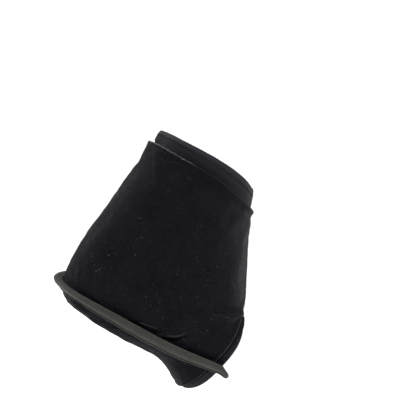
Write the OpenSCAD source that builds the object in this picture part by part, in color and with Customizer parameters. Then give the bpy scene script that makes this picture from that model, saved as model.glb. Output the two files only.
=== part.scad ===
// Cold compression wrap for the ankle and heel.
// Millimetres, +Z up the leg, +X towards the toes, -Y the medial side.
// The origin is on the floor, in the middle of the wrap's outline.

/* [Wall] */
// Thickness of the outer shell cloth
shell_t = 1.8; // [1.2:0.1:2.6]
// Thickness of the stretch liner
liner_t = 1.6; // [1:0.1:2.4]
// Thickness of the patch under the heel
sole_t = 1.2; // [0.8:0.1:1.2]
// Gap between the shell and the liner down the front, counted from the shell's outside
front_set = 2.8; // [2.6:0.1:4]

/* [Cold packs] */
// Thickness left around a pack inside its pocket
pack_play = 0.4; // [0.3:0.1:1]
// Height of a pack's lower edge above the floor
pack_foot = 68; // [68:1:80]
// Height of a pack's upper edge above the floor
pack_head = 166; // [150:1:170]
// Lean of the back wall and of the pocket, degrees
lean = 2.5; // [0:0.5:5]
// Thickness of the gel cells
cell_t = 4.2; // [3:0.1:4.2]
// Thickness of the welded film between the cells
film_t = 1.4; // [0.8:0.1:2]
// Width of the weld between two cells of a column
weld_w = 3; // [2:0.5:5]

/* [Heel band] */
// Thickness of the elastic
band_t = 3; // [2:0.25:4]
// Distance along X of the fold that the band turns on
fold_x = 84; // [80:1:86]
// Slope of the band's ends, as the rise for each millimetre towards the toes
band_rise = 0.174; // [0.1:0.001:0.25]

/* [Closure] */
// Angle round the wrap at which the flap's front edge lies, degrees
flap_front = 4; // [3:1:8]
// Angle round the wrap that the flap reaches, degrees
flap_reach = 70; // [60:1:72]

/* [Detail] */
// Degrees between the points of a cross-section
turn = 10; // [5:5:15]
// Steps between two sections
fine = 2; // [1:1:4]

/* [Hidden] */
$fn = 12;

// One row for each cross-section, from the cuff round the instep to the foot opening: front x, front z,
// back x, back z, back radius, half width, squareness, bow, and the pocket's depth at the sides and behind
SECTION = [
  [18.6, 199, -95.5, 188, 50, 51, 2.2, 0, 7.4, 7.8],
  [27.6, 179, -97, 172, 50, 51.5, 2.2, 0, 7.8, 11],
  [40, 155, -93, 150, 50, 53, 2.2, 0, 8.7, 8.7],
  [57, 129, -92.5, 121, 50, 54, 2.2, 0, 9.8, 9.8],
  [68.6, 111, -92, 87, 50, 53.5, 2.2, 0, 9.5, 9.5],
  [76.2, 98, -90.5, 51, 50, 51.5, 2.2, 0, 8.3, 8.3],
  [77, 96, -84.5, 22, 50, 48.5, 2.3, 1, 6, 6],
  [77.6, 94.6, -72, 3.6, 50, 46, 2.7, 2, 5, 5],
  [78.2, 93.4, -43, 1.9, 52, 45.5, 3.4, 3.5, 4.2, 4.2],
  [78.8, 92.3, -8, 4.8, 50, 46, 2.9, 5, 3.4, 3.4],
  [79.3, 91.2, 33, 9, 46, 47, 2.5, 7, 2.6, 2.6],
  [79.8, 90.2, 65.4, 0, 46, 47, 2.8, 8.5, 2.4, 2.4],
  [80.3, 89, 70, 0, 46, 47, 2.8, 11, 2.4, 2.4]];

// Section numbers that the edges of the pieces are cut at
cuff_u = 0;
mouth_u = 1;
shell_end = 11;
rim_u = len(SECTION) - 1;

// Inside of the band's medial half, from the heel to the front: x, y, z and the strap's width. It sags.
BAND = [[-86.5, 0, 12, 6.5], [-85.3, -10, 11.8, 6.5], [-81.5, -20, 12.2, 6.5], [-75, -30.4, 13.2, 6.6],
        [-66, -39, 14.7, 6.8], [-56, -44, 16.1, 7.1], [-46, -46.3, 17.6, 7.4], [-34, -47.1, 19.1, 8],
        [-18, -47.3, 21, 8.8], [0, -47.5, 23, 9.6], [20, -47.7, 25.8, 9.4], [42, -48, 29.6, 9.4],
        [60, -48.6, 33.8, 9.4], [72, -49.1, 37.2, 9], [82, -49.2, 39.8, 8.4], [89, -49.2, 41.1, 7],
        [95, -49.2, 42.1, 4]];
// The tight lateral half against it: x, how much higher it runs, and how much further from heel_x
LATERAL = [[-86.5, 0, 0], [-85.3, 3, 0.4], [-81.5, 5.1, 1.7], [-66, 5.7, 1.6], [-46, 5.5, 0.7],
           [20, 5.4, 0], [42, 4.4, 0], [60, 2.8, 0], [82, 0, 0]];
heel_x = -46;

// Middle of the pocket's back curve, and its reach behind, in front and to the side
pocket_x = -36.2;
pocket_back = SECTION[1][4] - shell_t - pack_play;
pocket_front = 69;
pocket_side = SECTION[1][5] - shell_t - pack_play;

// The pack in side view: its rear edge, its width, and the columns of cells
pack_rear = -77;
pack_w = 61;
cell_rows = 4;
cell_w = 22;
CELL_X = [-71.5, -43.5];

// ---- geometry -------------------------------------------------------------

// A smooth row at section number u, through the rows on either side of it
function row(u) =
  let (last = len(SECTION) - 2, k = min(floor(u), last), t = u - k, b = SECTION[k], c = SECTION[k + 1],
       a = k > 0 ? SECTION[k - 1] : 2 * b - c, d = k < last ? SECTION[k + 2] : 2 * c - b)
  0.5 * (2 * b + (c - a) * t + (2 * a - 5 * b + 4 * c - d) * t * t + (3 * b - a - 3 * c + d) * t * t * t);

function bent(v, p) = sign(v) * pow(abs(v), 2 / p);

// The point at section u and angle f, g inside the shell's outside, or inside the liner's outside
function at(u, f, g, liner = false) =
  let (r = row(u), span = [r[0] - r[2], r[1] - r[3]], long = norm(span), d = span / long,
       set_front = g + (liner ? front_set : 0), set_side = g + (liner ? r[8] : 0),
       set_back = g + (liner ? r[9] : 0),
       half = cos(f) > 0 ? long - r[4] - set_front : r[4] - set_back,
       along = r[4] + half * bent(cos(f), r[6]), side = bent(sin(f), r[6]), bow = r[7] * side * side)
  [r[2] + along * d[0] + bow * d[1], (r[5] - set_side) * side, r[3] + along * d[1] - bow * d[0]];

// From a to b by way of the multiples of a step, so that every layer has its points at the same places
function marks(a, b, step) =
  [a, for (i = [ceil(a / step + 0.2):floor(b / step - 0.2)]) i * step, b];

function flat(lists) = [for (list = lists) each list];

// The two triangles of a quad, cut from its first corner
function halves(a, b, c, d) = [[a, b, c], [a, c, d]];

// Triangles over a grid of points that starts at number a, turned over if over is true
function quilt(a, rows, cols, over) =
  [for (i = [0:rows - 2], j = [0:cols - 2])
     let (k = a + i * cols + j, low = k + cols)
     each over ? halves(k, low, low + 1, k + 1) : halves(k, k + 1, low + 1, low)];

// The rim between two grids of the same size
function rim(rows, cols) =
  let (m = rows * cols)
  concat(
    [for (j = [0:cols - 2]) each halves(j, j + 1, m + j + 1, m + j)],
    [for (j = [0:cols - 2]) let (k = m - cols + j) each halves(k + 1, k, m + k, m + k + 1)],
    [for (i = [0:rows - 2]) let (k = i * cols) each halves(k + cols, k, m + k, m + k + cols)],
    [for (i = [1:rows - 1]) let (k = i * cols - 1) each halves(k, k + cols, m + k + cols, m + k)]);

// A piece of cloth between an outer grid and an inner grid of points
module cloth(outer, inner) {
  rows = len(outer);
  cols = len(outer[0]);
  polyhedron(concat(flat(outer), flat(inner)),
             concat(quilt(0, rows, cols, true), quilt(rows * cols, rows, cols, false), rim(rows, cols)));
}

// A piece that follows the wrap from section u0 to u1 and from angle f0 to f1
module follow(u0, u1, f0, f1, g_out, g_in, on_liner = false, in_liner = false) {
  us = marks(u0, u1, 1 / fine);
  fs = marks(f0, f1, turn);
  cloth([for (u = us) [for (f = fs) at(u, f, g_out, on_liner)]],
        [for (u = us) [for (f = fs) at(u, f, g_in, in_liner)]]);
}

// A ring that follows the liner all the way round
module ring(u0, u1, g_out, g_in) {
  for (f0 = [0, 180]) follow(u0, u1, f0, f0 + 180, g_out, g_in, true, true);
}

module mirrored(side) {
  if (side > 0) mirror([0, 1, 0]) children();
  else children();
}

// ---- shell, liner and what lies between -----------------------------------

module shell_medial() {
  color("#1b1b20") follow(mouth_u, shell_end, 180, 360, 0, shell_t);
}

module shell_lateral() {
  color("#1b1b20") follow(mouth_u, shell_end, 0, 180, 0, shell_t);
}

module liner_medial() {
  color("#26262c") follow(cuff_u, rim_u, 180, 360, 0, liner_t, true, true);
}

module liner_lateral() {
  color("#26262c") follow(cuff_u, rim_u, 0, 180, 0, liner_t, true, true);
}

module cuff_binding() {
  color("#2e2e33") ring(cuff_u, cuff_u + 0.5, liner_t + 0.05, liner_t + 0.8);
}

module foot_binding() {
  color("#2e2e33") ring(rim_u - 0.5, rim_u, liner_t + 0.05, liner_t + 0.7);
}

module heel_cushion() {
  color("#3a3a40") follow(5.5, 8, 120, 240, shell_t + 0.9, -0.3, false, true);
}

module insulation(side) {
  mirrored(side) color("#55606a") follow(2, 4.5, 220, 310, shell_t + 0.2, shell_t + 1);
}

module insulation_medial() {
  insulation(-1);
}

module insulation_lateral() {
  insulation(1);
}

module rear_seam_tape() {
  color("#222226") follow(1.5, 10.5, 170, 190, shell_t + 0.15, shell_t + 0.55);
}

module front_seam_tape() {
  color("#222226") follow(1.5, 5.5, -10, 10, shell_t + 0.15, shell_t + 0.6);
}

// A flat patch with round ends that the heel stands on
module sole_pad() {
  color("#242428") translate([-42, 0, 0]) linear_extrude(sole_t) {
    square([24, 28], center = true);
    for (x = [-12, 12]) translate([x, 0]) circle(r = 14, $fn = 48);
  }
}

module care_label() {
  color("#c8c8c4") follow(0.5, 1, 170, 190, liner_t + 0.1, liner_t + 0.4, true, true);
}

// ---- closure --------------------------------------------------------------

module front_binding() {
  color("#202024") follow(2, 5, -10, 0, -1.4, -0.1);
}

module loop_patch() {
  color("#2c2c30") follow(2.5, 4.5, 20, 60, -1, -0.1);
}

module closure_flap() {
  color("#1e1e23") follow(2, 5, flap_front, flap_reach, -3.6, -2.1);
}

module hook_strip() {
  color("#101012") follow(3, 4, 30, 60, -1.95, -1.15);
}

// ---- cold packs -----------------------------------------------------------

// A rounded outline with its own reach behind and in front of the middle
module half_round(back, front, side) {
  polygon([for (f = [0:6:354]) [(cos(f) > 0 ? front : back) * bent(cos(f), 2.2), side * bent(sin(f), 2.2)]]);
}

// The pocket's room from depth a to depth b, square to the direction that the pack slides in
module pocket_layer(a, b) {
  difference() {
    half_round(pocket_back - a, pocket_front, pocket_side - a);
    half_round(pocket_back - b, 2 * pocket_front, pocket_side - b);
  }
}

// The whole pocket, cut to the pack's width and rounded at its edges
module pocket_section() {
  translate([pocket_x, 0]) offset(1) offset(-1) intersection() {
    difference() {
      half_round(pocket_back, pocket_front, pocket_side);
      half_round(pocket_back - cell_t, 2 * pocket_front, pocket_side - cell_t - pack_play);
    }
    translate([-39, -60]) square([59, 48]);
  }
}

// The welded film lies in the middle of the pocket
module film_section() {
  film_in = (cell_t - film_t) / 2;
  intersection() {
    pocket_section();
    translate([pocket_x, 0]) pocket_layer(film_in, film_in + film_t);
  }
}

// The pack's outline in side view
module pack_window() {
  corner = 8;
  offset(corner) translate([pack_rear + corner, pack_foot + corner])
    square([pack_w - 2 * corner, pack_head - pack_foot - 2 * corner]);
}

module cell_windows() {
  border = 6.5;
  corner = 4;
  pitch = (pack_head - pack_foot - 10) / cell_rows;
  for (i = [0:cell_rows - 1], x = CELL_X)
    offset(corner) translate([x + corner, pack_foot + border + i * pitch + corner])
      square([cell_w - 2 * corner, pitch - weld_w - 2 * corner]);
}

module sideways() {
  rotate([90, 0, 0]) linear_extrude(140, center = true) children();
}

module pack_film(side) {
  mirrored(side) rotate([0, -lean, 0]) color("#3c6f9c") difference() {
    intersection() {
      linear_extrude(pack_head + 10) film_section();
      sideways() pack_window();
    }
    sideways() cell_windows();
  }
}

module pack_cells(side) {
  mirrored(side) rotate([0, -lean, 0]) color("#5b93bf") intersection() {
    linear_extrude(pack_head + 10) pocket_section();
    sideways() cell_windows();
  }
}

module pack_film_medial() {
  pack_film(-1);
}

module pack_cells_medial() {
  pack_cells(-1);
}

module pack_film_lateral() {
  pack_film(1);
}

module pack_cells_lateral() {
  pack_cells(1);
}

// ---- heel band ------------------------------------------------------------

BAND_UP = [-band_rise, 0, 1] / norm([band_rise, 1]);

// The lateral point that matches point b of the medial half
function lateral(b) =
  let (away = unit([min(0, b[0] - heel_x), -b[1]]),
       lift = lookup(b[0], [for (r = LATERAL) [r[0], r[1]]]),
       out = lookup(b[0], [for (r = LATERAL) [r[0], r[2]]]))
  [b[0] + out * away[0], -b[1] + out * away[1], b[2] + lift, b[3]];

BAND_LINE = concat([for (i = [len(BAND) - 1:-1:1]) BAND[i]], [for (b = BAND) lateral(b)]);

function band_height(x) = lookup(x, [for (b = BAND) [b[0], b[2]]]);
function band_mid(i) = [BAND_LINE[i][0], BAND_LINE[i][1], BAND_LINE[i][2]];
function unit(v) = v / norm(v);

// The rounded section of the strap at point i of its line, inside face first
function strap(i) =
  let (last = len(BAND_LINE) - 1, run = unit(band_mid(min(i + 1, last)) - band_mid(max(i - 1, 0))),
       out = unit(cross(run, BAND_UP)), h = BAND_LINE[i][3] / 2, r = min(1, h / 2))
  [for (q = [[0, -h + r], [r, -h], [band_t - r, -h], [band_t, -h + r],
             [band_t, h - r], [band_t - r, h], [r, h], [0, h - r]])
     band_mid(i) - q[0] * out + q[1] * BAND_UP];

module heel_band() {
  n = len(BAND_LINE);
  color("#3a3a36") polyhedron(
    [for (i = [0:n - 1]) each strap(i)],
    concat([for (i = [0:n - 2], j = [0:7])
              let (k = i * 8, m = (j + 1) % 8) each halves(k + j, k + m, k + 8 + m, k + 8 + j)],
           [[for (j = [7:-1:0]) j], [for (j = [0:7]) (n - 1) * 8 + j]]));
}

// The webbing tab that folds round the rim of the foot opening and carries the band's end
module band_tab(side) {
  mirrored(side) color("#33332f") translate([fold_x, 0, band_height(fold_x)]) rotate([0, -atan(band_rise), 0])
    translate([0, 0, -3.5]) linear_extrude(7) polygon([
      [-16, -40.4], [7, -40.4], [7, -48.8], [-12, -48.8], [-12, -47.4], [5.6, -47.4], [5.6, -41.7], [-16, -41.7]]);
}

module band_tab_medial() {
  band_tab(-1);
}

module band_tab_lateral() {
  band_tab(1);
}

// Two raised rows of thread across the end of the band
module bartack(side) {
  mirrored(side) color("#1a1a18") for (x = [76, 79])
    translate([x, -49.2 - band_t, band_height(x)]) rotate([0, -atan(band_rise), 0])
      translate([0, -0.25, 0]) cube([1, 0.4, 7], center = true);
}

module bartack_medial() {
  bartack(-1);
}

module bartack_lateral() {
  bartack(1);
}

shell_medial();
shell_lateral();
liner_medial();
liner_lateral();
cuff_binding();
foot_binding();
heel_cushion();
insulation_medial();
insulation_lateral();
rear_seam_tape();
front_seam_tape();
sole_pad();
care_label();
loop_patch();
front_binding();
band_tab_medial();
band_tab_lateral();
heel_band();
bartack_medial();
bartack_lateral();
closure_flap();
hook_strip();
pack_film_medial();
pack_cells_medial();
pack_film_lateral();
pack_cells_lateral();
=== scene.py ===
"""The looks of the cold compression wrap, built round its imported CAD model.

Lengths in this script are millimetres, and turn into metres when a mesh is made. The cloth follows the
same sections as the CAD solids: u counts the sections from the cuff to the foot opening, and f is the
angle round the leg in degrees, 0 at the front, 90 on the lateral side, 180 at the back.
"""

import math

import bmesh
import bpy
import numpy as np
from mathutils import Matrix, Vector


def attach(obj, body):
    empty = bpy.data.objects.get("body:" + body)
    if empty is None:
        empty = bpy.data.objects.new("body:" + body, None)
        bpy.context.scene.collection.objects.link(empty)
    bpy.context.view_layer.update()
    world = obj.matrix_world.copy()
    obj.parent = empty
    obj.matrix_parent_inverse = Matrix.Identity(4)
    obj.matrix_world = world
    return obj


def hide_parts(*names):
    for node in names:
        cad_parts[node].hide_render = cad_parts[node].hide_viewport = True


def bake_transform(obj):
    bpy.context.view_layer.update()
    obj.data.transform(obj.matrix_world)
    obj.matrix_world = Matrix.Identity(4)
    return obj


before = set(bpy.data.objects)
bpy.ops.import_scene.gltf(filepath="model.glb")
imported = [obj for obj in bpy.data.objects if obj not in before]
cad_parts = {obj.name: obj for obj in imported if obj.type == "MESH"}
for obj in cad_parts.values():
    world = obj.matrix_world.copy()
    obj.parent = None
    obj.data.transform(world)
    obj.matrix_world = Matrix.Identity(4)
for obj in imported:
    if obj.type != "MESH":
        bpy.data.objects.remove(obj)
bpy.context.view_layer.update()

MM = 0.001
SHELL_T = 1.8
LINER_T = 1.6
FRONT_SET = 2.8
MOUTH_U = 1
SHELL_END = 11
RIM_U = 12

# ---- camera -----------------------------------------------------------------

CAMERA_AT = (-5.8, -573, 113.7)
CAMERA_TO = (-7.6, 0, 154.7)
CAMERA_ROLL = 36.5  # degrees; the worn wrap leans this far from upright
LENS = 49.1


def look(start, end):
    way = Vector(end) - Vector(start)
    turn = way.to_track_quat("-Z", "Y").to_matrix().to_4x4()
    return Matrix.Translation(Vector(start) * MM) @ turn


def make_camera():
    data = bpy.data.cameras.new("camera")
    data.lens = LENS
    cam = bpy.data.objects.new("camera", data)
    bpy.context.scene.collection.objects.link(cam)
    cam.matrix_world = look(CAMERA_AT, CAMERA_TO) @ Matrix.Rotation(math.radians(CAMERA_ROLL), 4, "Z")
    bpy.context.scene.camera = cam


make_camera()

# ---- small sums -------------------------------------------------------------


def bump(distance, width):
    return np.exp(-((distance / width) ** 2))


def smooth(t):
    t = np.clip(t, 0, 1)
    return t * t * (3 - 2 * t)


def unit(v):
    return v / np.maximum(np.linalg.norm(v, axis=-1, keepdims=True), 1e-9)


def spaced(a, b, count, *peaks):
    """Count marks from a to b, closer together round each peak: its place, width and strength."""
    t = np.linspace(a, b, 4001)
    weight = 1 + sum(gain * bump(t - at, width) for at, width, gain in peaks)
    run = np.concatenate([[0], np.cumsum((weight[1:] + weight[:-1]) / 2)])
    return np.interp(np.linspace(0, run[-1], count), run, t)


def edged(a, b, count, share=0.03, gain=8):
    """Marks from a to b, closer together at both ends."""
    width = abs(b - a) * share
    return spaced(a, b, count, (a, width, gain), (b, width, gain))


def ripple(points, size, seed):
    """Smooth random heights between about -1 and 1, with bumps about size across."""
    draw = np.random.default_rng(seed)
    out = np.zeros(points.shape[:-1])
    for _ in range(20):
        way = unit(draw.normal(size=3)) * 2 * math.pi / (size * draw.uniform(0.8, 2.0))
        out += np.sin(points @ way + draw.uniform(0, 2 * math.pi))
    return out / 4.5


def smooth_line(points, steps):
    """A Catmull-Rom line through the points, with so many steps to a stretch."""
    p = np.asarray(points, float)
    p = np.concatenate([[2 * p[0] - p[1]], p, [2 * p[-1] - p[-2]]])
    out = []
    for a, b, c, d in zip(p, p[1:], p[2:], p[3:]):
        for t in np.arange(steps) / steps:
            cubic = (2 * a - 5 * b + 4 * c - d) * t**2 + (3 * b - a - 3 * c + d) * t**3
            out.append(0.5 * (2 * b + (c - a) * t + cubic))
    return np.array(out + [p[-2]])


# ---- the surface that every layer follows -----------------------------------

# front x, front z, back x, back z, back radius, half width, squareness, bow, and the pocket's depth at
# the sides and behind
SECTION = np.array([
    [18.6, 199, -95.5, 188, 50, 51, 2.2, 0, 7.4, 7.8],
    [27.6, 179, -97, 172, 50, 51.5, 2.2, 0, 7.8, 11],
    [40, 155, -93, 150, 50, 53, 2.2, 0, 8.7, 8.7],
    [57, 129, -92.5, 121, 50, 54, 2.2, 0, 9.8, 9.8],
    [68.6, 111, -92, 87, 50, 53.5, 2.2, 0, 9.5, 9.5],
    [76.2, 98, -90.5, 51, 50, 51.5, 2.2, 0, 8.3, 8.3],
    [77, 96, -84.5, 22, 50, 48.5, 2.3, 1, 6, 6],
    [77.6, 94.6, -72, 3.6, 50, 46, 2.7, 2, 5, 5],
    [78.2, 93.4, -43, 1.9, 52, 45.5, 3.4, 3.5, 4.2, 4.2],
    [78.8, 92.3, -8, 4.8, 50, 46, 2.9, 5, 3.4, 3.4],
    [79.3, 91.2, 33, 9, 46, 47, 2.5, 7, 2.6, 2.6],
    [79.8, 90.2, 65.4, 0, 46, 47, 2.8, 8.5, 2.4, 2.4],
    [80.3, 89, 70, 0, 46, 47, 2.8, 11, 2.4, 2.4],
])


def rows(u):
    """The section rows at each u, on a smooth curve through the table."""
    last = len(SECTION) - 2
    k = np.clip(np.floor(u).astype(int), 0, last)
    t = (u - k)[..., None]
    b, c = SECTION[k], SECTION[k + 1]
    a = np.where((k > 0)[..., None], SECTION[np.maximum(k - 1, 0)], 2 * b - c)
    d = np.where((k < last)[..., None], SECTION[np.minimum(k + 2, last + 1)], 2 * c - b)
    cubic = (2 * a - 5 * b + 4 * c - d) * t**2 + (3 * b - a - 3 * c + d) * t**3
    return 0.5 * (2 * b + (c - a) * t + cubic)


def surface(u, f, depth=0.0, liner=False):
    """Points on the shell's outside, or on the liner's, set in by depth."""
    u, f, depth = np.broadcast_arrays(np.asarray(u, float), np.asarray(f, float), depth)
    r = rows(u)
    span = r[..., [0, 1]] - r[..., [2, 3]]
    long = np.linalg.norm(span, axis=-1)
    d = span / long[..., None]
    c, s = np.cos(np.radians(f)), np.sin(np.radians(f))
    power = 2 / r[..., 6]
    in_front = depth + (FRONT_SET if liner else 0)
    in_side = depth + (r[..., 8] if liner else 0)
    in_back = depth + (r[..., 9] if liner else 0)
    half = np.where(c > 0, long - r[..., 4] - in_front, r[..., 4] - in_back)
    along = r[..., 4] + half * np.sign(c) * np.abs(c) ** power
    side = np.sign(s) * np.abs(s) ** power
    bow = r[..., 7] * side**2
    x = r[..., 2] + along * d[..., 0] + bow * d[..., 1]
    z = r[..., 3] + along * d[..., 1] - bow * d[..., 0]
    return np.stack([x, (r[..., 5] - in_side) * side, z], axis=-1)


CREST = 7.0  # how far the cuff stands back at the rear seam
# How far the cuff's rim sinks, by the angle from the rear seam
RIM_DROP = ([0, 20, 30, 40, 60, 75, 90, 100, 120, 140, 160, 180],
            [0, 0, 0.5, 1.1, 2.1, 2.0, 1.5, 0.9, 0.8, 1.7, 3.6, 3.0])


def liner_at(u, f, depth=0.0):
    """The liner's outside, set in by depth: it swells a little in the cuff and has a crest behind."""
    p = surface(u, f, depth, True)
    u = np.broadcast_to(np.asarray(u, float), p.shape[:-1])
    f = np.broadcast_to(np.asarray(f, float), p.shape[:-1])
    middle = surface(u, f * 0 + 90, 0, True) * 0.5 + surface(u, f * 0 + 270, 0, True) * 0.5
    away = unit(p - middle)
    swell = 0.9 * bump(u - 0.45, 0.35) + 0.3 * ripple(p, 45, 5) * bump(u, 1.2)
    p = p + away * swell[..., None]
    p[..., 0] -= CREST * smooth((1.15 - u) / 0.5) * bump(f - 180, 16)
    p[..., 2] -= np.interp(np.abs(f - 180), *RIM_DROP) * smooth((1.2 - u) / 1.2)
    return p


def normals(points):
    """Unit normals of a grid of points whose rows run round the leg, pointing outwards.

    They are averaged by area along the leg, because the rows crowd together at the instep."""
    down = np.gradient(points, axis=0)
    over = np.gradient(points, axis=1)
    area = np.cross(down, over)
    for _ in range(12):
        area[1:-1] = (area[:-2] + 2 * area[1:-1] + area[2:]) / 4
    return unit(area)


class Skin:
    """The settled outer face of the shell over the (u, f) plane."""

    def __init__(self, u, f, points):
        self.u, self.f, self.points = u, f, points
        wrapped = np.concatenate([points[:, -2:-1], points, points[:, 1:2]], axis=1)
        self.out = normals(wrapped)[:, 1:-1]

    def read(self, grid, u, f):
        u, f = np.broadcast_arrays(np.asarray(u, float), np.mod(f, 360))
        i = np.clip(np.searchsorted(self.u, u, "right") - 1, 0, len(self.u) - 2)
        j = np.clip(np.searchsorted(self.f, f, "right") - 1, 0, len(self.f) - 2)
        s = ((u - self.u[i]) / (self.u[i + 1] - self.u[i]))[..., None]
        t = ((f - self.f[j]) / (self.f[j + 1] - self.f[j]))[..., None]
        near = grid[i, j] * (1 - t) + grid[i, j + 1] * t
        far = grid[i + 1, j] * (1 - t) + grid[i + 1, j + 1] * t
        return near * (1 - s) + far * s

    def normal(self, u, f):
        return unit(self.read(self.out, u, f))

    def at(self, u, f, lift=0.0):
        return self.read(self.points, u, f) + self.normal(u, f) * np.asarray(lift)[..., None]


# ---- mesh helpers -----------------------------------------------------------


def add_object(name, verts, faces, uv=None):
    mesh = bpy.data.meshes.new(name)
    mesh.from_pydata((np.asarray(verts) * MM).tolist(), [], faces)
    if uv is not None:
        layer = mesh.uv_layers.new(name="cloth")
        index = np.empty(len(mesh.loops), int)
        mesh.loops.foreach_get("vertex_index", index)
        layer.data.foreach_set("uv", (np.asarray(uv)[index] * MM).ravel())
    work = bmesh.new()
    work.from_mesh(mesh)
    bmesh.ops.recalc_face_normals(work, faces=work.faces)
    work.to_mesh(mesh)
    work.free()
    mesh.polygons.foreach_set("use_smooth", [True] * len(mesh.polygons))
    mesh.update()
    obj = bpy.data.objects.new(name, mesh)
    bpy.context.scene.collection.objects.link(obj)
    return obj


def lengths(points, axis):
    """How far each grid point is along the cloth from the grid's first and last line on that axis."""
    step = np.linalg.norm(np.diff(points, axis=axis), axis=-1)
    run = np.insert(step.cumsum(axis), 0, 0, axis=axis)
    return run, run.take([-1], axis) - run


def arc_uv(points):
    across = lengths(points, 1)[0]
    return np.stack([across - across.mean(axis=1, keepdims=True), lengths(points, 0)[0]], axis=-1)


def layer_faces(nu, nf, closed=False):
    """Faces of two grids, joined round their edges into one skin."""
    m = nu * nf
    wrap = nf if closed else nf - 1
    faces = []
    for i in range(nu - 1):
        for j in range(wrap):
            a, b = i * nf + j, i * nf + (j + 1) % nf
            faces.append((a, b, b + nf, a + nf))
            faces.append((m + a + nf, m + b + nf, m + b, m + a))
    for j in range(wrap):
        for a, b in ((j, (j + 1) % nf), (m - nf + (j + 1) % nf, m - nf + j)):
            faces.append((b, a, m + a, m + b))
    if not closed:
        for i in range(nu - 1):
            for a, b in ((i * nf, i * nf + nf), (i * nf + 2 * nf - 1, i * nf + nf - 1)):
                faces.append((a, b, m + b, m + a))
    return faces


def layer(name, outer, inner, closed=False):
    """A piece of cloth between two grids of points; a closed one runs all the way round."""
    nu, nf = outer.shape[:2]
    verts = np.concatenate([outer.reshape(-1, 3), inner.reshape(-1, 3)])
    uv = np.concatenate([arc_uv(outer).reshape(-1, 2), arc_uv(inner).reshape(-1, 2)])
    return add_object(name, verts, layer_faces(nu, nf, closed), uv)


def rounded(name, top, out, thickness):
    """Cloth of one thickness under a grid of points, with its edges rounded over."""
    half = thickness / 2
    gap = np.minimum(np.minimum(*lengths(top, 0)), np.minimum(*lengths(top, 1)))
    into = half - np.sqrt(half**2 - (half - np.minimum(gap, half)) ** 2)
    into = np.minimum(into, 0.85 * half)[..., None]
    return layer(name, top - out * into, top - out * (thickness - into))


def tube(name, line, out, wide, tall, sides=10):
    """A cord along a line of points: wide across, tall along out, which both may change on the way."""
    run = unit(np.gradient(line, axis=0))
    over = unit(np.cross(run, out))
    turn = np.linspace(0, 2 * math.pi, sides, endpoint=False)[None, :, None]
    wide = np.broadcast_to(wide, len(line))[:, None, None]
    tall = np.broadcast_to(tall, len(line))[:, None, None]
    ring = over[:, None] * np.cos(turn) * wide / 2 + out[:, None] * np.sin(turn) * tall / 2
    return skinned(name, line[:, None] + ring)


def skinned(name, rings):
    """A closed skin over rings of points, with a cap at each end."""
    n, sides = rings.shape[:2]
    faces = [tuple(range(sides)), tuple(range((n - 1) * sides, n * sides))]
    for i in range(n - 1):
        for j in range(sides):
            a, b = i * sides + j, i * sides + (j + 1) % sides
            faces.append((a, b, b + sides, a + sides))
    turned = np.concatenate([rings, rings[:, :1]], axis=1)
    across = lengths(turned, 1)[0][:, :-1]
    along = lengths(rings, 0)[0]
    return add_object(name, rings.reshape(-1, 3), faces, np.stack([along, across], axis=-1).reshape(-1, 2))


def stitches(name, paths, pitch=2.7, long=2.0, wide=0.55, tall=0.45, material="thread"):
    """Rows of separate stitches along paths of (points, outward normals)."""
    corner = np.arange(6) * math.pi / 3
    verts, faces = [], []
    for line, out in paths:
        run = np.concatenate([[0], np.linalg.norm(np.diff(line, axis=0), axis=-1).cumsum()])
        for at in np.arange(pitch / 2, run[-1] - long / 2, pitch):
            reach = (at - long / 2, at + long / 2)
            ends = [np.array([np.interp(place, run, line[:, k]) for k in range(3)]) for place in reach]
            lift = unit(np.array([np.interp(at, run, out[:, k]) for k in range(3)]))
            way = unit(ends[1] - ends[0])
            over = np.cross(lift, way)
            base = len(verts)
            ring = over * np.cos(corner)[:, None] * wide / 2 + lift * np.sin(corner)[:, None] * tall / 2
            verts.append(ends[0] - lift * tall * 0.4)
            verts.extend(ends[0] + way * long * 0.25 + ring)
            verts.extend(ends[1] - way * long * 0.25 + ring)
            verts.append(ends[1] - lift * tall * 0.4)
            for j in range(6):
                a, b = base + 1 + j, base + 1 + (j + 1) % 6
                faces += [(base, b, a), (a, b, b + 6, a + 6), (base + 13, a + 6, b + 6)]
    obj = add_object(name, np.array(verts), faces)
    obj.data.materials.append(MATERIAL[material])
    return obj


# ---- materials --------------------------------------------------------------


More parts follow.
